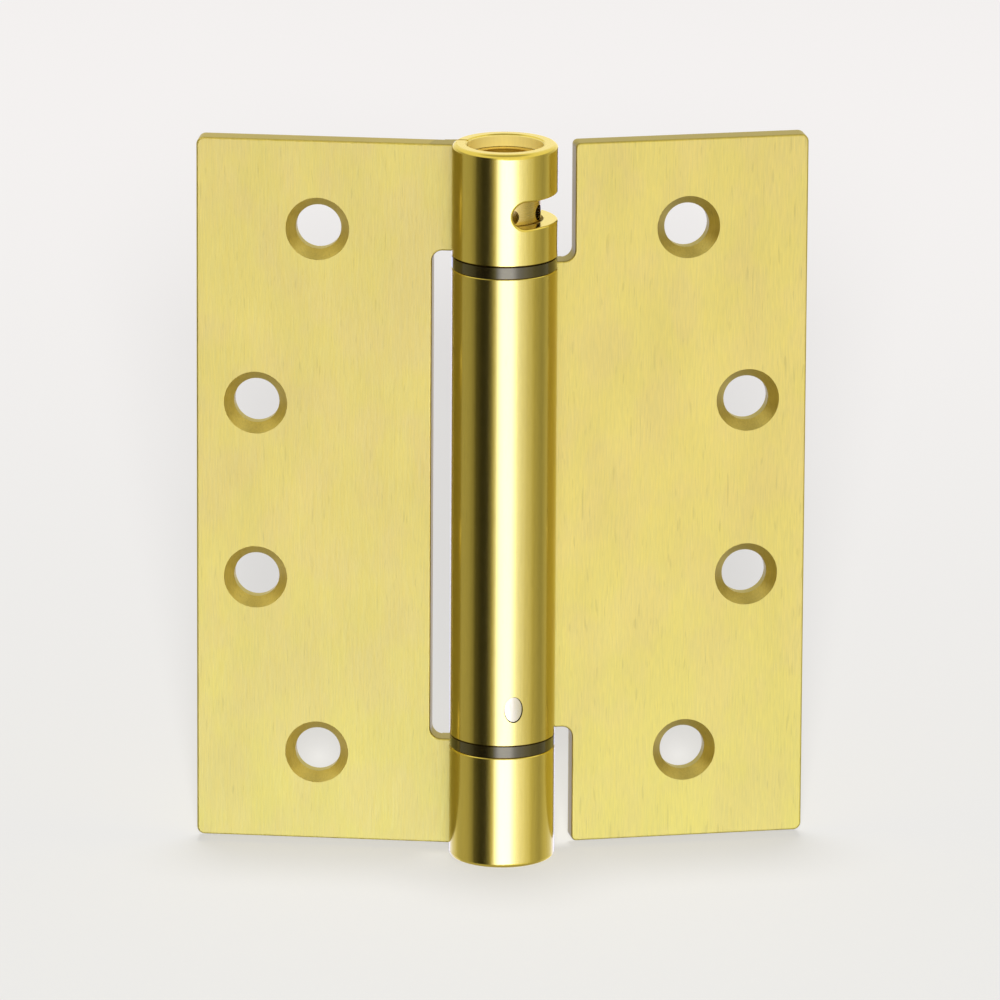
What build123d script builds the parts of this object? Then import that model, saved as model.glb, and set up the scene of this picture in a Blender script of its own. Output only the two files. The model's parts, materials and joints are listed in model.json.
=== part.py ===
"""Full-mortise spring hinge with a rolled barrel, tension collar and torsion spring.

Units are millimetres. +Z runs up the pin axis and the origin is on that axis, in the bottom end
of the barrel. The jamb leaf lies towards -X with its countersunk face square to -Y. The door
leaf lies towards +X and is turned back past straight by OPEN_BACK degrees.
"""
from build123d import *
import math
import os

os.makedirs("parts", exist_ok=True)

# Leaves
LEAF_HEIGHT = 114.3
LEAF_REACH = 49.0
LEAF_THICKNESS = 3.4
FACE_SETBACK = 1.5
OPEN_BACK = 17.0
OUTER_CORNER_R = 1.2
INNER_CORNER_R = 0.8
NOTCH_CORNER_R = 1.7
NOTCH_CLEARANCE = 3.3
EDGE_ROUND = 0.3

# Screw holes, two staggered rows on each leaf
OUTER_ROW_FROM_EDGE = 9.4
INNER_ROW_FROM_EDGE = 19.2
OUTER_ROW_SPACING = 28.575
INNER_ROW_SPACING = 85.725
SCREW_HOLE_D = 7.2
COUNTERSINK_D = 10.1
COUNTERSINK_ANGLE = 82.0

# Barrel, rolled from the leaves and reamed
BARREL_D = 16.7
BARREL_BORE_D = 12.1
END_KNUCKLE_HEIGHT = 17.2
BARREL_BELOW_LEAF = 1.0
BARREL_ABOVE_LEAF = 0.9
BEARING_GAP = 1.8
BACK_BLEND_R = 8.0
SEAM_GAP = 0.2
KNUCKLE_EDGE = 0.25
LIP_ROUND = 0.7
MOUTH_ROUND = 0.8
MOUTH_CHAMFER = 0.3

# Slot in the top knuckle, angles measured round the axis from the front towards +X
SLOT_HEIGHT = 4.3
SLOT_BELOW_TOP = 9.95
SLOT_START = 16.0
SLOT_END = 158.0
SLOT_EDGE_ROUND = 0.4

# Clearances
RUNNING = 0.05
SEAT = 0.04
TANG_CLEARANCE = 0.1

# Tension collar and its retaining ring, in the top knuckle
RING_BELOW_TOP = 2.0
RING_THICKNESS = 0.9
RING_GROOVE_DEPTH = 0.55
RING_WIDTH = 1.9
RING_MOUTH = 3.0
RING_ANGLE = -80.0
COLLAR_WAIST_DEPTH = 0.35
COLLAR_LAND = 2.4
COLLAR_HOLES = 6
COLLAR_HOLE_D = 2.5
COLLAR_HOLE_DEPTH = 2.3
COLLAR_HOLE_BELOW_SLOT = 0.75
COLLAR_FIRST_HOLE = 16.5
COLLAR_DISH_D = 7.4
COLLAR_DISH_DEPTH = 0.6
COLLAR_EDGE = 0.4
WASHER_THICKNESS = 0.75

# Spindle, keyed in the collar and reaching down through the spring
SPINDLE_SQUARE = 4.0
SPINDLE_JOURNAL_D = 5.9
SPINDLE_HEAD_HEIGHT = 4.3
SPINDLE_HEAD_CLEARANCE = 0.15
SPINDLE_CORE_CLEARANCE = 0.95
SPINDLE_END_CHAMFER = 0.5

# Torsion spring
WIRE_D = 1.7
SPRING_TO_BORE = 0.65
COIL_GAP = 0.15
SPRING_END_GAP = 0.6
TANG_BEND_R = 1.3
TANG_REACH = 4.0
TANG_END_GAP = 0.5

# Spring anchor and its oval pin, in the centre knuckle
ANCHOR_HEIGHT = 13.8
ANCHOR_WEB = 2.5
ANCHOR_CORE_DEPTH = 3.5
ANCHOR_PIN_WIDTH = 2.8
ANCHOR_PIN_HEIGHT = 4.0
ANCHOR_PIN_ABOVE_END = 6.1
ANCHOR_PIN_ANGLE = 1.5
ANCHOR_PIN_RECESS = 0.25
ANCHOR_PIN_CLEARANCE = 0.12
ANCHOR_PIN_WALL = 0.35

# Bearings and pintle
BEARING_SLEEVE = 3.0
BEARING_SETBACK = 0.05
PINTLE_JOURNAL_D = 6.0
PINTLE_CHAMFER = 0.6

# Levels and radii that follow from the sizes above
BARREL_R = BARREL_D / 2
BORE_R = BARREL_BORE_D / 2
BACK_FACE = FACE_SETBACK + LEAF_THICKNESS
NOTCH_EDGE = BARREL_R + NOTCH_CLEARANCE
LEAF_LOW = BARREL_BELOW_LEAF
LEAF_TOP = LEAF_LOW + LEAF_HEIGHT
BARREL_TOP = LEAF_TOP + BARREL_ABOVE_LEAF
MID_HEIGHT = LEAF_LOW + LEAF_HEIGHT / 2
LOW_KNUCKLE_TOP = LEAF_LOW + END_KNUCKLE_HEIGHT
CENTRE_LOW = LOW_KNUCKLE_TOP + BEARING_GAP
TOP_LOW = LEAF_TOP - END_KNUCKLE_HEIGHT
CENTRE_HIGH = TOP_LOW - BEARING_GAP
SLOT_Z = BARREL_TOP - SLOT_BELOW_TOP
PLUG_R = BORE_R - SEAT

RING_TOP = BARREL_TOP - RING_BELOW_TOP
RING_LOW = RING_TOP - RING_THICKNESS
GROOVE_R = BORE_R + RING_GROOVE_DEPTH
COLLAR_TOP = RING_LOW - RUNNING
COLLAR_WASHER_LOW = TOP_LOW + RUNNING
COLLAR_LOW = COLLAR_WASHER_LOW + WASHER_THICKNESS + RUNNING
COLLAR_R = BORE_R - RUNNING
COLLAR_WAIST_R = COLLAR_R - COLLAR_WAIST_DEPTH
COLLAR_HOLE_Z = SLOT_Z - COLLAR_HOLE_BELOW_SLOT

JOURNAL_R = SPINDLE_JOURNAL_D / 2
UPPER_SLEEVE_LOW = CENTRE_HIGH - BEARING_SLEEVE
SPINDLE_WASHER_LOW = UPPER_SLEEVE_LOW - RUNNING - WASHER_THICKNESS
HEAD_TOP = SPINDLE_WASHER_LOW - RUNNING
HEAD_LOW = HEAD_TOP - SPINDLE_HEAD_HEIGHT
HEAD_R = BORE_R - SPINDLE_HEAD_CLEARANCE

PINTLE_R = PINTLE_JOURNAL_D / 2
PINTLE_HEAD_TOP = LOW_KNUCKLE_TOP - WASHER_THICKNESS - RUNNING
LOWER_SLEEVE_TOP = CENTRE_LOW + BEARING_SLEEVE
PINTLE_WASHER_LOW = PINTLE_HEAD_TOP + SEAT
ANCHOR_LOW = LOWER_SLEEVE_TOP + SEAT
ANCHOR_TOP = ANCHOR_LOW + ANCHOR_HEIGHT
ANCHOR_CORE_LOW = ANCHOR_TOP - ANCHOR_CORE_DEPTH
ANCHOR_PIN_Z = CENTRE_LOW + ANCHOR_PIN_ABOVE_END
PINTLE_TOP = ANCHOR_CORE_LOW - ANCHOR_WEB - RUNNING

WIRE_R = WIRE_D / 2
SPRING_R = BORE_R - SPRING_TO_BORE - WIRE_R
CORE_R = SPRING_R - WIRE_R - SPINDLE_CORE_CLEARANCE
COIL_PITCH = WIRE_D + COIL_GAP
SPRING_LOW = ANCHOR_TOP + SPRING_END_GAP + WIRE_R
SPRING_HEIGHT = HEAD_LOW - SPRING_END_GAP - WIRE_R - SPRING_LOW
TANG_HOLE_R = WIRE_R + TANG_CLEARANCE

CENTRED_UP = (Align.CENTER, Align.CENTER, Align.MIN)
CENTRED_DOWN = (Align.CENTER, Align.CENTER, Align.MAX)
FROM_CORNER = (Align.MIN, Align.MIN)
OVERSHOOT = 1.0
MATCH = 0.01


def disc(radius, low, high):
    """Solid cylinder on the pin axis between two levels."""
    return Pos(0, 0, low) * Cylinder(radius, high - low, align=CENTRED_UP)


def tube(outer_r, inner_r, low, high):
    """Hollow cylinder on the pin axis between two levels."""
    return disc(outer_r, low, high) - disc(inner_r, low - OVERSHOOT, high + OVERSHOOT)


def outward(angle):
    """Unit vector from the axis, angle in degrees from the front (-Y) towards +X."""
    return Vector(math.sin(math.radians(angle)), -math.cos(math.radians(angle)), 0)


def radial_plane(angle, radius, z):
    """Plane square to a radius, with its own y up and its normal pointing outward."""
    normal = outward(angle)
    sideways = Vector(0, 0, 1).cross(normal)
    return Plane(origin=normal * radius + Vector(0, 0, z), x_dir=sideways, z_dir=normal)


def on_barrel(point):
    """Whether a point lies on the outside of the barrel."""
    return abs(math.hypot(point.X, point.Y) - BARREL_R) < MATCH


def end_edges(solid, radius):
    """Circular edges of one radius that lie round the pin axis."""
    circles = solid.edges().filter_by(GeomType.CIRCLE)
    return circles.filter_by(lambda edge: abs(edge.radius - radius) < MATCH)


def at_notch_edge(vertices, at_leaf_end):
    """Outline corners on the notch line: those at the leaf's own ends, or those at its tabs."""
    on_line = vertices.filter_by(lambda v: abs(v.X - NOTCH_EDGE) < MATCH)
    return on_line.filter_by(lambda v: (abs(v.Y - MID_HEIGHT) > LEAF_HEIGHT / 2 - MATCH) == at_leaf_end)


def leaf_plate(knuckles):
    """Flat leaf towards +X with a tab at each knuckle; knuckles is a list of (low, high) levels."""
    outline = Pos(NOTCH_EDGE, LEAF_LOW) * Rectangle(LEAF_REACH - NOTCH_EDGE, LEAF_HEIGHT, align=FROM_CORNER)
    for low, high in knuckles:
        tab_low = max(low, LEAF_LOW)
        tab_height = min(high, LEAF_TOP) - tab_low
        outline += Pos(BORE_R, tab_low) * Rectangle(LEAF_REACH - BORE_R, tab_height, align=FROM_CORNER)
    outline = fillet(outline.vertices().filter_by(lambda v: abs(v.X - LEAF_REACH) < MATCH), OUTER_CORNER_R)
    outline = fillet(at_notch_edge(outline.vertices(), False), NOTCH_CORNER_R)
    free_corners = at_notch_edge(outline.vertices(), True)
    if free_corners:
        outline = fillet(free_corners, INNER_CORNER_R)
    back = Plane(origin=(0, BACK_FACE, 0), x_dir=(1, 0, 0), z_dir=(0, -1, 0))
    plate = extrude(back * outline, LEAF_THICKNESS)
    return fillet(plate.faces().filter_by(Axis.Y).edges(), EDGE_ROUND)


def back_web():
    """Section of the sweep that carries the back of the leaf round into the knuckle."""
    rise = BARREL_R - BACK_FACE
    centre = Vector(math.sqrt(rise * (BARREL_R + BACK_FACE + 2 * BACK_BLEND_R)), BACK_FACE + BACK_BLEND_R)
    on_leaf = Vector(centre.X, BACK_FACE)
    sunk = BACK_FACE - EDGE_ROUND
    on_knuckle = centre * (BARREL_R / (BARREL_R + BACK_BLEND_R))
    halfway = ((on_leaf - centre).normalized() + (on_knuckle - centre).normalized()).normalized()
    sweep_arc = ThreePointArc(on_leaf, centre + halfway * BACK_BLEND_R, on_knuckle)
    foot = Polyline(on_knuckle, (on_knuckle.X, sunk), (on_leaf.X, sunk), on_leaf)
    return make_face(sweep_arc + foot)


def knuckle(low, high):
    """Outside of one rolled knuckle with its sweep into the back of the leaf, before the bore."""
    roll = disc(BARREL_R, low, high)
    lower = end_edges(roll, BARREL_R).sort_by(Axis.Z)[0]
    roll = fillet(lower, LIP_ROUND) if low < LEAF_LOW else chamfer(lower, KNUCKLE_EDGE)
    upper = end_edges(roll, BARREL_R).sort_by(Axis.Z)[-1]
    roll = chamfer(upper, KNUCKLE_EDGE) if high < LEAF_TOP else fillet(upper, MOUTH_ROUND)
    web_low = max(low, LEAF_LOW)
    return roll + extrude(Pos(0, 0, web_low) * back_web(), min(high, LEAF_TOP) - web_low)


def curl_seam(low, high):
    """Thin gap where the end of the rolled strip meets the front face of the leaf."""
    width = BARREL_R + OVERSHOOT
    gap = Box(width, SEAM_GAP, high - low, align=(Align.MIN, Align.MAX, Align.MIN))
    return Pos(0, FACE_SETBACK, low) * gap


def screw_hole(x, z):
    """Through hole and countersink, opened from the front face of the leaf."""
    cone_depth = (COUNTERSINK_D - SCREW_HOLE_D) / 2 / math.tan(math.radians(COUNTERSINK_ANGLE / 2))
    through = Cylinder(SCREW_HOLE_D / 2, LEAF_THICKNESS + 2 * OVERSHOOT, align=CENTRED_DOWN)
    cone = Cone(SCREW_HOLE_D / 2, COUNTERSINK_D / 2, cone_depth, align=CENTRED_DOWN)
    face = Plane(origin=(x, FACE_SETBACK, z), x_dir=(1, 0, 0), z_dir=(0, -1, 0))
    return face * (Pos(0, 0, OVERSHOOT) * through + cone)


def rolled_leaf(knuckles):
    """One whole leaf towards +X, with its knuckles bored and its four screw holes cut."""
    leaf = leaf_plate(knuckles)
    for low, high in knuckles:
        leaf += knuckle(low, high)
    leaf -= disc(BORE_R, -OVERSHOOT, BARREL_TOP + OVERSHOOT)
    for low, high in knuckles:
        leaf -= curl_seam(low, high)
    rows = ((OUTER_ROW_FROM_EDGE, OUTER_ROW_SPACING), (INNER_ROW_FROM_EDGE, INNER_ROW_SPACING))
    for from_edge, spacing in rows:
        for side in (-1, 1):
            leaf -= screw_hole(LEAF_REACH - from_edge, MID_HEIGHT + side * spacing / 2)
    return leaf


def pin_slot():
    """Round-ended slot that runs part way round the top knuckle."""
    half = SLOT_HEIGHT / 2
    end_turn = math.degrees(half / BARREL_R)
    first, last = SLOT_START + end_turn, SLOT_END - end_turn
    depth = BARREL_R + OVERSHOOT - COLLAR_WAIST_R
    cut = Pos((COLLAR_WAIST_R + depth / 2), 0, SLOT_Z) * Rot(90, 0, 0) * Rectangle(depth, SLOT_HEIGHT)
    slot = Rot(0, 0, first - 90) * revolve(cut, Axis.Z, revolution_arc=last - first)
    for angle in (first, last):
        slot += extrude(radial_plane(angle, COLLAR_WAIST_R, SLOT_Z) * Circle(half), depth)
    return slot


def slot_rim(leaf):
    """Edges where the slot opens through the outside of the barrel."""
    near = leaf.edges().filter_by(lambda edge: abs(edge.center().Z - SLOT_Z) < SLOT_HEIGHT / 2 + MATCH)
    return near.filter_by(lambda edge: all(on_barrel(edge @ at) for at in (0, 0.5, 1)))


def anchor_pin_blank(clearance, inner_r, outer_r):
    """Oval bar pointing out along the anchor pin's radius, before the barrel's turn."""
    oval = Ellipse(ANCHOR_PIN_WIDTH / 2 + clearance, ANCHOR_PIN_HEIGHT / 2 + clearance)
    return extrude(radial_plane(ANCHOR_PIN_ANGLE, inner_r, ANCHOR_PIN_Z) * oval, outer_r - inner_r)


def jamb_leaf():
    """Left leaf, with the bottom and top knuckles."""
    leaf = mirror(rolled_leaf([(0, LOW_KNUCKLE_TOP), (TOP_LOW, BARREL_TOP)]), Plane.YZ)
    leaf -= disc(GROOVE_R, RING_LOW - RUNNING, RING_TOP + RUNNING)
    leaf -= Pos(0, 0, BARREL_TOP) * Cone(BORE_R, BORE_R + MOUTH_CHAMFER, MOUTH_CHAMFER, align=CENTRED_DOWN)
    leaf -= pin_slot()
    return fillet(slot_rim(leaf), SLOT_EDGE_ROUND)


def with_door(shape):
    """Turn a shape from the straight position to the door leaf's own position."""
    return Rot(0, 0, OPEN_BACK) * shape


def door_leaf():
    """Right leaf, with the long centre knuckle and the oval hole for the anchor pin."""
    leaf = rolled_leaf([(CENTRE_LOW, CENTRE_HIGH)])
    pin_hole = anchor_pin_blank(ANCHOR_PIN_CLEARANCE, BORE_R - OVERSHOOT, BARREL_R + OVERSHOOT)
    return with_door(leaf - pin_hole)


def flanged_bearing(flange_low, flange_high, sleeve_low, sleeve_high, bore_r):
    """Nylon bush whose flange shows between two knuckles."""
    flange = tube(BARREL_R - BEARING_SETBACK, bore_r, flange_low, flange_high)
    return flange + tube(PLUG_R, bore_r, sleeve_low, sleeve_high)


def upper_bearing():
    """Bush between the top and centre knuckles, on the spindle."""
    bore_r = JOURNAL_R + RUNNING
    return flanged_bearing(CENTRE_HIGH, TOP_LOW - RUNNING, UPPER_SLEEVE_LOW, CENTRE_HIGH, bore_r)


def lower_bearing():
    """Bush between the bottom and centre knuckles, on the pintle."""
    bore_r = PINTLE_R + RUNNING
    return flanged_bearing(LOW_KNUCKLE_TOP + RUNNING, CENTRE_LOW, CENTRE_LOW, LOWER_SLEEVE_TOP, bore_r)


def thrust_washer(low, shaft_r):
    """Flat steel washer in the barrel bore."""
    return tube(BORE_R - 2 * RUNNING, shaft_r + RUNNING, low, low + WASHER_THICKNESS)


def tension_collar():
    """Turned collar with two lands, a waist drilled with radial holes and a square socket."""
    collar = disc(COLLAR_R, COLLAR_LOW, COLLAR_TOP)
    collar = chamfer(end_edges(collar, COLLAR_R), COLLAR_EDGE)
    collar -= tube(COLLAR_R + OVERSHOOT, COLLAR_WAIST_R, COLLAR_LOW + COLLAR_LAND, COLLAR_TOP - COLLAR_LAND)
    collar -= disc(COLLAR_DISH_D / 2, COLLAR_TOP - COLLAR_DISH_DEPTH, COLLAR_TOP + OVERSHOOT)
    side = SPINDLE_SQUARE + 2 * RUNNING
    collar -= Pos(0, 0, COLLAR_LOW) * Box(side, side, COLLAR_TOP - COLLAR_LOW, align=CENTRED_UP)
    for index in range(COLLAR_HOLES):
        angle = COLLAR_FIRST_HOLE + index * 360 / COLLAR_HOLES
        start = radial_plane(angle, COLLAR_WAIST_R - COLLAR_HOLE_DEPTH, COLLAR_HOLE_Z)
        collar -= extrude(start * Circle(COLLAR_HOLE_D / 2), COLLAR_HOLE_DEPTH + OVERSHOOT)
    return collar


def retaining_ring():
    """Open spring-steel ring in the groove above the collar."""
    outer = GROOVE_R - RUNNING
    ring = tube(outer, outer - RING_WIDTH, RING_LOW, RING_TOP)
    mouth = Box(2 * outer, RING_MOUTH, RING_THICKNESS, align=(Align.MIN, Align.CENTER, Align.MIN))
    return ring - Rot(0, 0, RING_ANGLE) * Pos(0, 0, RING_LOW) * mouth


def spring_path():
    """Centre line of the coils, left hand so that winding the collar tightens it."""
    coils = Helix(COIL_PITCH, SPRING_HEIGHT, SPRING_R, lefthand=True)
    return Pos(0, 0, SPRING_LOW) * coils


def tang_bend(at):
    """Arc that turns the wire upright: start, heading, middle and end; at is 0 below and 1 above."""
    path = spring_path()
    start = path @ at
    heading = path % 1 if at else path % 0 * -1
    rise = Vector(0, 0, 1 if at else -1)
    turn = math.acos(heading.dot(rise))
    inward = (rise - heading * math.cos(turn)).normalized()
    centre = start + inward * TANG_BEND_R
    middle, end = (
        centre + (heading * math.sin(angle) - inward * math.cos(angle)) * TANG_BEND_R
        for angle in (turn / 2, turn)
    )
    return start, heading, middle, end


def tang(at, reach_to):
    """Bent end of the wire, from the coils to a level."""
    start, heading, middle, end = tang_bend(at)
    bend = ThreePointArc(start, middle, end)
    line = Wire([bend.edge(), Edge.make_line(end, (end.X, end.Y, reach_to))])
    return sweep(Plane(origin=start, z_dir=heading) * Circle(WIRE_R), path=line)


def torsion_spring():
    """Close-wound torsion spring with an axial tang at each end."""
    path = spring_path()
    spring = sweep(Plane(origin=path @ 0, z_dir=path % 0) * Circle(WIRE_R), path=path, is_frenet=True)
    return spring + tang(0, ANCHOR_TOP - TANG_REACH) + tang(1, HEAD_LOW + TANG_REACH)


def tang_hole(at, low, high):
    """Hole on the line of a tang."""
    place = tang_bend(at)[-1]
    return Pos(place.X, place.Y, low) * Cylinder(TANG_HOLE_R, high - low, align=CENTRED_UP)


def spindle():
    """Square key, journal, head that holds the upper tang, and the core inside the coils."""
    key_top = COLLAR_TOP - COLLAR_DISH_DEPTH
    key_low = COLLAR_LOW - RUNNING
    key = Box(SPINDLE_SQUARE, SPINDLE_SQUARE, key_top - key_low, align=CENTRED_UP)
    key = chamfer(key.edges().group_by(Axis.Z)[-1], SPINDLE_END_CHAMFER)
    shaft = Pos(0, 0, key_low) * key + disc(JOURNAL_R, HEAD_TOP, key_low)
    shaft += disc(HEAD_R, HEAD_LOW, HEAD_TOP)
    core = disc(CORE_R, ANCHOR_CORE_LOW + RUNNING, HEAD_LOW)
    core = chamfer(core.edges().group_by(Axis.Z)[0], SPINDLE_END_CHAMFER)
    return shaft + core - tang_hole(1, HEAD_LOW - OVERSHOOT, HEAD_TOP + OVERSHOOT)


def spring_anchor():
    """Plug pinned in the centre knuckle, which holds the lower tang and turns on the pintle."""
    plug = disc(PLUG_R, ANCHOR_LOW, ANCHOR_TOP)
    plug -= disc(PINTLE_R + RUNNING, ANCHOR_LOW - OVERSHOOT, ANCHOR_CORE_LOW - ANCHOR_WEB)
    plug -= disc(CORE_R + 2 * RUNNING, ANCHOR_CORE_LOW, ANCHOR_TOP + OVERSHOOT)
    plug -= with_door(anchor_pin_blank(SEAT, PINTLE_R + ANCHOR_PIN_WALL, BARREL_R))
    return plug - tang_hole(0, ANCHOR_TOP - TANG_REACH - TANG_END_GAP, ANCHOR_TOP + OVERSHOOT)


def anchor_pin():
    """Oval pin through the centre knuckle, its end just under the barrel's surface."""
    inner = PINTLE_R + ANCHOR_PIN_WALL + SEAT
    blank = anchor_pin_blank(0, inner, BARREL_R)
    rounding = disc(BARREL_R - ANCHOR_PIN_RECESS, CENTRE_LOW, CENTRE_HIGH)
    return with_door(blank & rounding)


def lower_pintle():
    """Turned plug pressed in the bottom knuckle, with the journal that the door leaf turns on."""
    head = disc(PLUG_R, 0, PINTLE_HEAD_TOP)
    head = chamfer(end_edges(head, PLUG_R), KNUCKLE_EDGE)
    journal = disc(PINTLE_R, PINTLE_HEAD_TOP, PINTLE_TOP)
    journal = chamfer(journal.edges().group_by(Axis.Z)[-1], PINTLE_CHAMFER)
    return head + journal


PIECES = {
    "jamb_leaf": jamb_leaf(),
    "door_leaf": door_leaf(),
    "upper_bearing": upper_bearing(),
    "lower_bearing": lower_bearing(),
    "tension_collar": tension_collar(),
    "collar_washer": thrust_washer(COLLAR_WASHER_LOW, JOURNAL_R),
    "retaining_ring": retaining_ring(),
    "spindle": spindle(),
    "spindle_washer": thrust_washer(SPINDLE_WASHER_LOW, JOURNAL_R),
    "torsion_spring": torsion_spring(),
    "spring_anchor": spring_anchor(),
    "anchor_pin": anchor_pin(),
    "lower_pintle": lower_pintle(),
    "pintle_washer": thrust_washer(PINTLE_WASHER_LOW, PINTLE_R),
}

for name, shape in PIECES.items():
    export_step(shape, f"parts/{name}.step")
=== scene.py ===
"""Satin brass spring hinge, standing open on a pale studio floor.

Everything is in metres, in the part's own frame: +Z up the pin axis, countersunk faces towards -Y.
"""
import bpy
import json
import math
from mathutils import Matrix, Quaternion, Vector


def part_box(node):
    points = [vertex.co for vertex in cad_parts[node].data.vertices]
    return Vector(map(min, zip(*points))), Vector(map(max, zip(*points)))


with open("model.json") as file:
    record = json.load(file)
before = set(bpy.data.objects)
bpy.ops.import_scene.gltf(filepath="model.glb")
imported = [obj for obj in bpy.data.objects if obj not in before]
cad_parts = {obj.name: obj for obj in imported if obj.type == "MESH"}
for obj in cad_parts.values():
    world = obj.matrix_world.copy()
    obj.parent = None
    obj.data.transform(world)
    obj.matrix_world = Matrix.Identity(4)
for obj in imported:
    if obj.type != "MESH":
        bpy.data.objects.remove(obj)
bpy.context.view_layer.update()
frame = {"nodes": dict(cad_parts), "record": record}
NODES = frame["nodes"]

# Camera, in degrees, metres and the pixels of a 1000 px square picture
CAMERA_AZIMUTH = 6.06
CAMERA_ELEVATION = 15.29
CAMERA_ROLL = 0.31
CAMERA_DISTANCE = 1.93
FOCAL_PX = 12231.0
OFF_CENTRE_PX = (3.3, 0.67)
PICTURE_PX = 1000.0
SENSOR_MM = 36.0

# Sizes read from the frame
LEAF_LOW, LEAF_TOP = (corner.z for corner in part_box("door_leaf"))
MIDDLE = Vector((0, 0, (LEAF_LOW + LEAF_TOP) / 2))
BARREL_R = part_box("upper_bearing")[1].x
COLLAR_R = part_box("tension_collar")[1].x
BORE_R = COLLAR_R
MOUNTS = {mount["name"]: mount for mount in frame["record"]["mounts"]}
COLLAR_HOLE_Z = MOUNTS["tension_hole"]["pos_m"][2]
COLLAR_HOLE_R = MOUNTS["tension_hole"]["dims"]["r_mm"] / 1000

# Floor and light
FLOOR_SIZE = 9.0
NEAR_FLOOR = (0.800, 0.793, 0.776)
FAR_FLOOR = (0.957, 0.932, 0.922)
HORIZON = (0.88, 0.865, 0.845)
FLOOR_FADE = (-0.1, 0.6)
HORIZON_FADE = (0.8, 2.2)
FLOOR_GLOW = 0.50
AMBIENT = 0.15
KEY_POWER = 29.0
KEY_SIZE = 0.5
KEY_PLACE = (-0.05, 0.27, 2.5)
FILL_POWER = 169.0
FILL_SIZE = 0.48
FILL_PLACE = (0.35, -3.2, 1.05)

# What metal sees round the horizon: degrees from the front (-Y) towards +X, and brightness
PANORAMA = (
    (-180, 1.15), (-166, 1.1), (-145, 1.0), (-126, 0.80), (-100, 0.47), (-84, 0.46), (-74, 0.42),
    (-64, 0.30), (-56, 0.09), (-40, 0.03), (-30, 0.04), (-22, 0.18), (-15, 0.62), (-9, 1.3),
    (-4, 2.5), (1, 3.2), (6, 3.3), (23, 3.3), (29, 2.4), (34, 1.5), (39, 1.2),
    (50, 1.0), (64, 0.78), (80, 0.50), (97, 0.38), (118, 0.60), (138, 0.75), (152, 1.0),
    (166, 1.1), (180, 1.15),
)
PANORAMA_PEAK = 3.3

# Bright strip below the horizon, the only place where the panorama passes STRIP_FROM
# Its half height changes from the first reach to the second between the two sides, in degrees
STRIP_FROM = 1.2
STRIP_LEVEL = -0.264
STRIP_REACH = (0.31, 0.13)
STRIP_SIDES = (-2.0, 30.0)
STRIP_CORE = 0.35

# What metal sees below and above the panorama, and between which heights each one fades in
LOW_SKY = 0.45
HIGH_SKY = 1.0
ZENITH = 0.50
BELOW_FADE = (-0.75, -0.5)
ABOVE_FADE = (0.32, 0.50)
ZENITH_FADE = (0.82, 0.95)

# Tint of what metal sees: warm, and cool in the strip as its brightness passes these levels
WARM_LIGHT = (1.0, 0.96, 0.70)
COOL_LIGHT = (1.0, 1.10, 2.1)
COOL_LEVELS = (0.6, 1.3)

# Finishes
BRASS = (0.73, 0.60, 0.128)
PALE_BRASS = (0.725, 0.583, 0.142)
LOW_TINT = (1.0, 1.06, 1.07)
BARREL_BRASS = (0.80, 0.63, 0.13)
BORE_BRASS = (0.80, 0.66, 0.22)
SINK_BRASS = (0.66, 0.54, 0.165)
# Dull sheared edges, and painted shade on the notches' narrow faces by the barrel
DULL_EDGE_AND_SHADE_BRASS = (0.42, 0.34, 0.10)
TURNED_BRASS = (0.74, 0.56, 0.17)
# Painted shade inside the collar's holes, and the fades of its row and depth
HOLE_SHADE = 0.5
HOLE_ROW_FADE = (0.0003, 0.0001)
HOLE_DEPTH_FADE = (0.0007, 0.0010)
LEAF_ROUGHNESS = 0.50
SINK_ROUGHNESS = 0.40
EDGE_ROUGHNESS = 0.55
BARREL_ROUGHNESS = 0.15
BORE_ROUGHNESS = 0.45
BORE_METAL = 0.5
# Painted shade: the door leaf's brass is drawn darker than the jamb leaf's, by this factor
DOOR_PAINTED_SHADE = 0.88

# Where the finish of a leaf changes, and where painted shade falls on its notches: facing is 1 on its
# flat faces and 0 on its narrow ones
# The notch's reach and the fades of notch, barrel and bore are distances from the axis, in metres
CONE_FACING = 0.656
CONE_FADE = (0.12, 0.06)
# Painted shade on the notches' narrow faces within NOTCH_REACH of the barrel; the other narrow faces
# are dull sheared edges, darkened by RIM_SHADE
NOTCH_FACING = (0.85, 0.5)
RIM_FACING = (0.5, 0.3)
RIM_SHADE = 0.7
NOTCH_REACH = 0.0042
NOTCH_FADE = 0.0002
BARREL_FADE = (0.00015, 0.00005)
BORE_FADE = (0.0002, 0.0001)

# Brushing and wear, and a painted shade by height: the part of the noise that is used, and what it does
# to tone, gloss and bump
NOISE_SPAN = (0.3, 0.7)
STAIN_SPAN = (0.4, 0.6)
SCRATCH_SPAN = (0.27, 0.20)
STREAK_TONE = 0.07
FINE_TONE = 0.03
BLOTCH_TONE = 0.03
SCRATCH_TONE = -0.10
# Painted shade: the leaves lighter at the bottom and darker at the top, by this much
HEIGHT_SHADE = 0.03
STREAK_ROUGHNESS = 0.04
BARREL_GRAIN = 0.35
BARREL_UNEVEN = 0.3
BUMP_STRENGTH = (0.35, 0.03)
BUMP_DEPTH = 0.00002


def add(tree, kind, inputs=None, **settings):
    """New shader node; inputs are values or sockets by name or number."""
    node = tree.nodes.new("ShaderNode" + kind)
    for key, value in settings.items():
        setattr(node, key, value)
    for key, value in (inputs or {}).items():
        socket = node.inputs[key]
        if isinstance(value, bpy.types.NodeSocket):
            tree.links.new(value, socket)
        else:
            socket.default_value = value
    return node


def calc(tree, operation, *values):
    """Result of one maths node."""
    return add(tree, "Math", dict(enumerate(values)), operation=operation).outputs[0]


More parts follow.
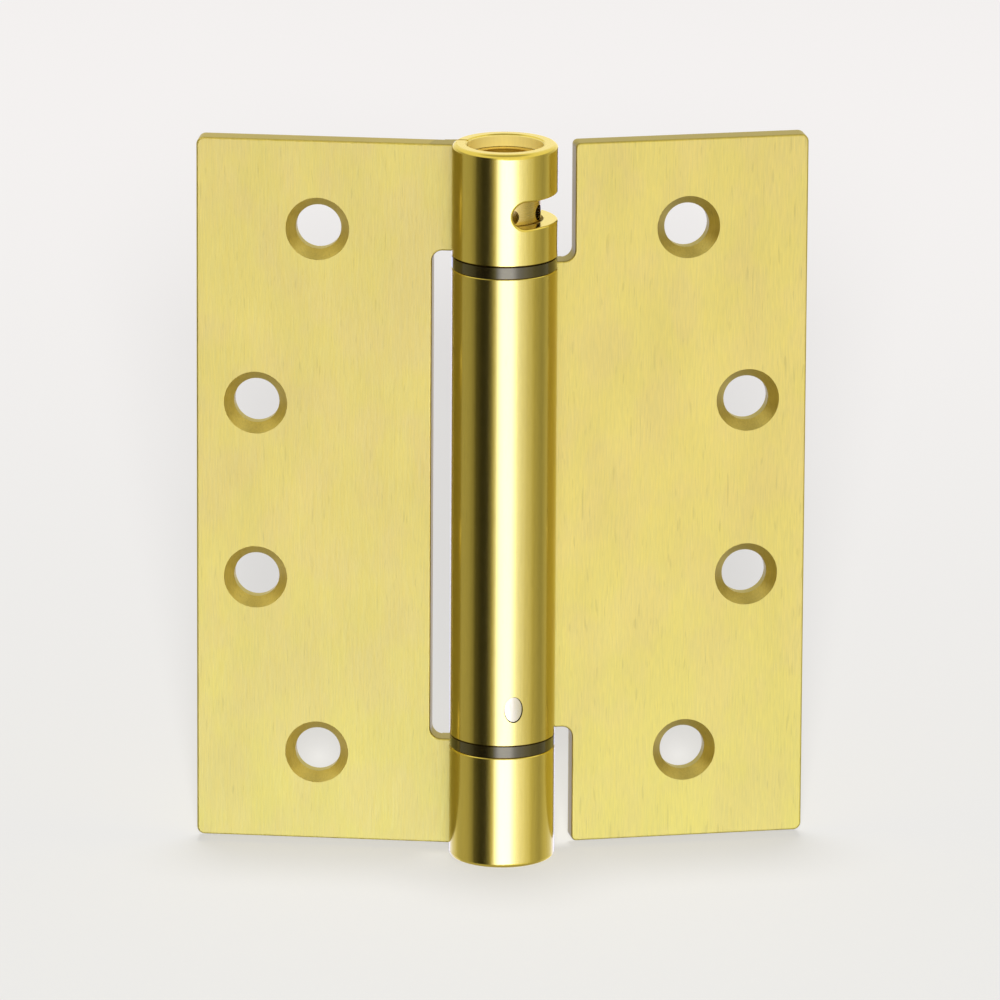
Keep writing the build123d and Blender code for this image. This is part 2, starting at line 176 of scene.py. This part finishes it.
def remap(tree, value, low, high, to_low=0.0, to_high=1.0, smooth=False):
    """Value mapped from one range to another and held at its ends."""
    inputs = {"Value": value, "From Min": low, "From Max": high, "To Min": to_low, "To Max": to_high}
    kind = "SMOOTHSTEP" if smooth else "LINEAR"
    return add(tree, "MapRange", inputs, interpolation_type=kind).outputs["Result"]


def ramp(tree, factor, stops, ease="LINEAR"):
    """Grey or coloured ramp; stops are (place, value or colour)."""
    node = add(tree, "ValToRGB", {"Fac": factor})
    elements = node.color_ramp.elements
    node.color_ramp.interpolation = ease
    for index, (place, value) in enumerate(stops):
        element = elements[index] if index < len(elements) else elements.new(place)
        element.position = place
        element.color = (*(value if isinstance(value, tuple) else (value,) * 3), 1)
    return node.outputs["Color"]


def mix(tree, factor, first, second, blend="MIX"):
    """Mix of two colours."""
    node = add(tree, "Mix", {"Factor": factor}, data_type="RGBA", blend_type=blend)
    for socket, value in ((node.inputs[6], first), (node.inputs[7], second)):
        if isinstance(value, bpy.types.NodeSocket):
            tree.links.new(value, socket)
        else:
            socket.default_value = (*value, 1)
    return node.outputs[2]


def noise(tree, where, scale, stretch=(1, 1, 1), detail=2.0):
    """Noise in the part's own coordinates; scale is in cells per metre, stretch per axis."""
    placed = add(tree, "Mapping", {"Vector": where, "Scale": stretch}).outputs[0]
    return add(tree, "TexNoise", {"Vector": placed, "Scale": scale, "Detail": detail}).outputs["Fac"]


def new_material(name):
    """Empty material with its surface shader; returns material, tree, shader and object coordinates."""
    material = bpy.data.materials.new(name)
    material.use_nodes = True
    tree = material.node_tree
    shader = tree.nodes["Principled BSDF"]
    where = add(tree, "TexCoord").outputs["Object"]
    return material, tree, shader, where


def from_axis(tree, where):
    """Distance from the pin axis."""
    flat = add(tree, "Mapping", {"Vector": where, "Scale": (1, 1, 0)}).outputs[0]
    return add(tree, "VectorMath", {0: flat}, operation="LENGTH").outputs["Value"]


def put_on(material, *names):
    """Give CAD nodes this material."""
    for name in names:
        slots = NODES[name].data.materials
        slots.clear()
        slots.append(material)


def satin_brass(name, back, tone=1.0):
    """Brushed plate with glossier countersinks, dull dark edges and a glossy, deeper gold barrel, with
    painted shade on the notches' narrow faces by the barrel, painted shade from bottom to top, and tone
    as a painted shade for the whole leaf.
    """
    material, tree, shader, where = new_material(name)
    radius = from_axis(tree, where)
    barrel = remap(tree, radius, *(BARREL_R + fade for fade in BARREL_FADE), smooth=True)
    normal = add(tree, "TexCoord").outputs["Normal"]
    across = add(tree, "VectorMath", {0: normal, 1: back}, operation="DOT_PRODUCT").outputs["Value"]
    facing = calc(tree, "ABSOLUTE", across)
    off_cone = calc(tree, "ABSOLUTE", calc(tree, "SUBTRACT", facing, CONE_FACING))
    sink = remap(tree, off_cone, *CONE_FADE)
    # Painted shade on the narrow faces of the notches by the barrel, joined with the dull sheared edges
    # of all narrow faces
    near = remap(tree, radius, BARREL_R + NOTCH_REACH, BARREL_R + NOTCH_REACH - NOTCH_FADE)
    notch_shade = calc(tree, "MULTIPLY", remap(tree, facing, *NOTCH_FACING), near)
    dull_edge_and_shade = calc(tree, "MAXIMUM", notch_shade, remap(tree, facing, *RIM_FACING, 0, RIM_SHADE))
    bore = remap(tree, radius, *(BORE_R + fade for fade in BORE_FADE))

    streak = noise(tree, where, 3600, (1, 1, 0.09), 2)
    fine = noise(tree, where, 7000, (1, 1, 0.06), 2)
    blotch = noise(tree, where, 110, (1, 1, 0.5), 2)
    stain = remap(tree, noise(tree, where, 170, (1, 1, 0.6), 2), *STAIN_SPAN)
    scratch = remap(tree, noise(tree, where, 2600, (1, 1, 0.11), 0), *SCRATCH_SPAN)
    streaks = remap(tree, streak, *NOISE_SPAN, -STREAK_TONE, STREAK_TONE)
    grain = calc(tree, "ADD", streaks, remap(tree, fine, *NOISE_SPAN, -FINE_TONE, FINE_TONE))
    grain = calc(tree, "ADD", grain, remap(tree, blotch, *NOISE_SPAN, -BLOTCH_TONE, BLOTCH_TONE))
    grain = calc(tree, "ADD", grain, calc(tree, "MULTIPLY", scratch, SCRATCH_TONE))
    grain = calc(tree, "MULTIPLY", grain, remap(tree, barrel, 0, 1, 1, BARREL_GRAIN))
    # Painted shade: lighter at the bottom and darker at the top, and the whole leaf scaled by tone; the
    # noise added on top is brushing and wear
    level = add(tree, "SeparateXYZ", {0: where}).outputs[2]
    tones = (tone + HEIGHT_SHADE, tone - HEIGHT_SHADE)
    grain_and_shade = calc(tree, "ADD", remap(tree, level, LEAF_LOW, LEAF_TOP, *tones), grain)

    tint = mix(tree, remap(tree, level, LEAF_LOW, MIDDLE.z), LOW_TINT, (1, 1, 1))
    flat = mix(tree, 1.0, mix(tree, stain, BRASS, PALE_BRASS), tint, "MULTIPLY")
    plate = mix(tree, sink, flat, SINK_BRASS)
    plate = mix(tree, dull_edge_and_shade, plate, DULL_EDGE_AND_SHADE_BRASS)
    plate = mix(tree, barrel, plate, mix(tree, bore, BARREL_BRASS, BORE_BRASS))
    shade = add(tree, "VectorMath", {0: plate, 3: grain_and_shade}, operation="SCALE").outputs[0]
    tree.links.new(shade, shader.inputs["Base Color"])
    rough = add(tree, "Mix", {0: sink, 2: LEAF_ROUGHNESS, 3: SINK_ROUGHNESS}).outputs[0]
    rough = add(tree, "Mix", {0: dull_edge_and_shade, 2: rough, 3: EDGE_ROUGHNESS}).outputs[0]
    rolled = add(tree, "Mix", {0: bore, 2: BARREL_ROUGHNESS, 3: BORE_ROUGHNESS}).outputs[0]
    rough = add(tree, "Mix", {0: barrel, 2: rough, 3: rolled}).outputs[0]
    uneven = remap(tree, streak, *NOISE_SPAN, -STREAK_ROUGHNESS, STREAK_ROUGHNESS)
    uneven = calc(tree, "MULTIPLY", uneven, remap(tree, barrel, 0, 1, 1, BARREL_UNEVEN))
    tree.links.new(calc(tree, "ADD", rough, uneven), shader.inputs["Roughness"])
    strength = remap(tree, barrel, 0, 1, *BUMP_STRENGTH)
    bump_inputs = {"Strength": strength, "Distance": BUMP_DEPTH, "Height": streak}
    bump = add(tree, "Bump", bump_inputs).outputs[0]
    tree.links.new(bump, shader.inputs["Normal"])
    metal = remap(tree, calc(tree, "MULTIPLY", bore, barrel), 0, 1, 1, BORE_METAL)
    tree.links.new(metal, shader.inputs["Metallic"])
    shader.inputs["Coat Weight"].default_value = 0.25
    shader.inputs["Coat Roughness"].default_value = 0.3
    return material


def turned_brass():
    """Bright turned brass with fine rings round the axis, and painted shade inside the collar's holes.
    """
    material, tree, shader, where = new_material("turned_brass")
    rings = noise(tree, where, 3000, (0.05, 0.05, 1), 2)
    level = add(tree, "SeparateXYZ", {0: where}).outputs[2]
    # Painted shade inside the collar's holes
    off_row = calc(tree, "ABSOLUTE", calc(tree, "SUBTRACT", level, COLLAR_HOLE_Z))
    row = remap(tree, off_row, *(COLLAR_HOLE_R + fade for fade in HOLE_ROW_FADE))
    deep = remap(tree, from_axis(tree, where), *(COLLAR_R - depth for depth in HOLE_DEPTH_FADE))
    painted_hole_shade = remap(tree, calc(tree, "MULTIPLY", row, deep), 0, 1, 1, HOLE_SHADE)
    tone = calc(tree, "MULTIPLY", remap(tree, rings, *NOISE_SPAN, 0.985, 1.01), painted_hole_shade)
    shade = add(tree, "VectorMath", {0: TURNED_BRASS, 3: tone}, operation="SCALE").outputs[0]
    tree.links.new(shade, shader.inputs["Base Color"])
    tree.links.new(remap(tree, rings, *NOISE_SPAN, 0.26, 0.29), shader.inputs["Roughness"])
    shader.inputs["Metallic"].default_value = 1.0
    return material


def black_nylon():
    """Glossy black moulded nylon."""
    material, tree, shader, where = new_material("black_nylon")
    speck = noise(tree, where, 1500, detail=3)
    tint = ramp(tree, speck, ((0.3, (0.003, 0.002, 0.001)), (0.7, (0.006, 0.004, 0.001))))
    tree.links.new(tint, shader.inputs["Base Color"])
    tree.links.new(remap(tree, speck, *NOISE_SPAN, 0.15, 0.22), shader.inputs["Roughness"])
    shader.inputs["Coat Weight"].default_value = 0.8
    shader.inputs["Coat Roughness"].default_value = 0.12
    shader.inputs["IOR"].default_value = 1.8
    shader.inputs["Specular Tint"].default_value = (1.0, 0.80, 0.12, 1)
    return material


def bright_steel():
    """Pale zinc-plated steel of the pin, spindle, anchor and washers."""
    material, tree, shader, where = new_material("bright_steel")
    grain = noise(tree, where, 2500, (1, 1, 0.2), 3)
    tint = ramp(tree, grain, ((0.3, (0.56, 0.50, 0.29)), (0.7, (0.61, 0.55, 0.33))))
    tree.links.new(tint, shader.inputs["Base Color"])
    tree.links.new(remap(tree, grain, *NOISE_SPAN, 0.26, 0.38), shader.inputs["Roughness"])
    shader.inputs["Metallic"].default_value = 1.0
    return material


def spring_steel():
    """Oiled drawn wire."""
    material, tree, shader, where = new_material("spring_steel")
    grain = noise(tree, where, 1800, detail=3)
    tint = ramp(tree, grain, ((0.3, (0.30, 0.30, 0.31)), (0.7, (0.46, 0.46, 0.47))))
    tree.links.new(tint, shader.inputs["Base Color"])
    tree.links.new(remap(tree, grain, *NOISE_SPAN, 0.3, 0.45), shader.inputs["Roughness"])
    shader.inputs["Metallic"].default_value = 1.0
    return material


def studio_world():
    """Soft plain light for everything, and a banded panorama that only reflections see."""
    world = bpy.data.worlds.new("studio")
    world.use_nodes = True
    world.cycles.sampling_method = "NONE"
    bpy.context.scene.world = world
    tree = world.node_tree
    direction = add(tree, "TexCoord").outputs["Generated"]
    x, y, z = add(tree, "SeparateXYZ", {0: direction}).outputs
    turn = calc(tree, "ARCTAN2", x, calc(tree, "MULTIPLY", y, -1.0))
    place = remap(tree, turn, -math.pi, math.pi)
    stops = [((angle + 180) / 360, value / PANORAMA_PEAK) for angle, value in PANORAMA]
    around = calc(tree, "MULTIPLY", ramp(tree, place, stops, "EASE"), PANORAMA_PEAK)
    below = remap(tree, z, *BELOW_FADE, smooth=True)
    above = remap(tree, z, *ABOVE_FADE, smooth=True)
    overhead = remap(tree, z, *ZENITH_FADE, smooth=True)
    off_level = calc(tree, "ABSOLUTE", calc(tree, "SUBTRACT", z, STRIP_LEVEL))
    sides = (math.radians(side) for side in STRIP_SIDES)
    reach = remap(tree, turn, *sides, *STRIP_REACH)
    strip = remap(tree, calc(tree, "DIVIDE", off_level, reach), 1.0, STRIP_CORE, smooth=True)
    extra = calc(tree, "MAXIMUM", calc(tree, "SUBTRACT", around, STRIP_FROM), 0.0)
    extra = calc(tree, "MULTIPLY", extra, strip)
    around = calc(tree, "ADD", calc(tree, "MINIMUM", around, STRIP_FROM), extra)
    seen = add(tree, "Mix", {0: below, 2: LOW_SKY, 3: around}).outputs[0]
    sky = add(tree, "Mix", {0: overhead, 2: HIGH_SKY, 3: ZENITH}).outputs[0]
    seen = add(tree, "Mix", {0: above, 2: seen, 3: sky}).outputs[0]
    path = add(tree, "LightPath").outputs
    mirrored = calc(tree, "MAXIMUM", path["Is Glossy Ray"], path["Is Transmission Ray"])
    level = add(tree, "Mix", {0: mirrored, 2: AMBIENT, 3: seen}).outputs[0]
    level = add(tree, "Mix", {0: path["Is Camera Ray"], 2: level, 3: 1.0}).outputs[0]
    background = tree.nodes["Background"]
    cool = calc(tree, "MULTIPLY", remap(tree, around, *COOL_LEVELS), strip)
    cast = mix(tree, cool, WARM_LIGHT, COOL_LIGHT)
    colour = mix(tree, path["Is Camera Ray"], mix(tree, mirrored, (1, 1, 1), cast), HORIZON)
    tree.links.new(colour, background.inputs["Color"])
    tree.links.new(level, background.inputs["Strength"])


def floor():
    """Pale floor that keeps a faint shadow."""
    half = FLOOR_SIZE / 2
    mesh = bpy.data.meshes.new("floor")
    corners = [(-half, -half, 0), (half, -half, 0), (half, half, 0), (-half, half, 0)]
    mesh.from_pydata(corners, [], [(0, 1, 2, 3)])
    plane = bpy.data.objects.new("floor", mesh)
    bpy.context.scene.collection.objects.link(plane)
    material, tree, shader, where = new_material("floor")
    tree.nodes.remove(shader)
    back = remap(tree, add(tree, "SeparateXYZ", {0: where}).outputs[1], *FLOOR_FADE, smooth=True)
    away = remap(tree, from_axis(tree, where), *HORIZON_FADE, smooth=True)
    tint = mix(tree, away, mix(tree, back, NEAR_FLOOR, FAR_FLOOR), HORIZON)
    lit = add(tree, "BsdfDiffuse", {"Color": tint}).outputs[0]
    glow = add(tree, "Emission", {"Color": tint}).outputs[0]
    own = remap(tree, away, 0, 1, FLOOR_GLOW, 1)
    shown = calc(tree, "MULTIPLY", add(tree, "LightPath").outputs["Is Camera Ray"], own)
    both = add(tree, "MixShader", {0: shown, 1: lit, 2: glow}).outputs[0]
    tree.links.new(both, tree.nodes["Material Output"].inputs["Surface"])
    mesh.materials.append(material)
    plane.visible_glossy = False


def soft_lamp(name, power, size, place):
    """Round lamp aimed at the middle of the hinge, unseen in reflections."""
    data = bpy.data.lights.new(name, "AREA")
    data.shape = "DISK"
    data.size = size
    data.energy = power
    lamp = bpy.data.objects.new(name, data)
    lamp.location = place
    lamp.rotation_mode = "QUATERNION"
    lamp.rotation_quaternion = (MIDDLE - lamp.location).to_track_quat("-Z", "Y")
    lamp.visible_glossy = False
    bpy.context.scene.collection.objects.link(lamp)


def camera():
    """Long lens, a little above and to the right of square-on."""
    azimuth, elevation = math.radians(CAMERA_AZIMUTH), math.radians(CAMERA_ELEVATION)
    back = Vector((
        math.sin(azimuth) * math.cos(elevation),
        -math.cos(azimuth) * math.cos(elevation),
        math.sin(elevation),
    ))
    data = bpy.data.cameras.new("camera")
    data.sensor_width = SENSOR_MM
    data.lens = FOCAL_PX / PICTURE_PX * SENSOR_MM
    data.shift_x = -OFF_CENTRE_PX[0] / PICTURE_PX
    data.shift_y = OFF_CENTRE_PX[1] / PICTURE_PX
    data.clip_end = 100
    view = bpy.data.objects.new("camera", data)
    view.location = MIDDLE + back * CAMERA_DISTANCE
    view.rotation_mode = "QUATERNION"
    roll = Quaternion((0, 0, 1), math.radians(CAMERA_ROLL))
    view.rotation_quaternion = (-back).to_track_quat("-Z", "Y") @ roll
    bpy.context.scene.collection.objects.link(view)
    bpy.context.scene.camera = view


put_on(satin_brass("jamb_brass", MOUNTS["jamb_leaf_back"]["axis"]), "jamb_leaf")
put_on(satin_brass("door_brass", MOUNTS["door_leaf_back"]["axis"], DOOR_PAINTED_SHADE), "door_leaf")
put_on(turned_brass(), "tension_collar", "retaining_ring", "lower_pintle")
put_on(black_nylon(), "upper_bearing", "lower_bearing")
put_on(
    bright_steel(), "anchor_pin", "spindle", "spring_anchor",
    "collar_washer", "spindle_washer", "pintle_washer",
)
put_on(spring_steel(), "torsion_spring")

studio_world()
floor()
soft_lamp("key", KEY_POWER, KEY_SIZE, KEY_PLACE)
soft_lamp("fill", FILL_POWER, FILL_SIZE, FILL_PLACE)
camera()
bpy.context.scene.view_settings.view_transform = "Standard"
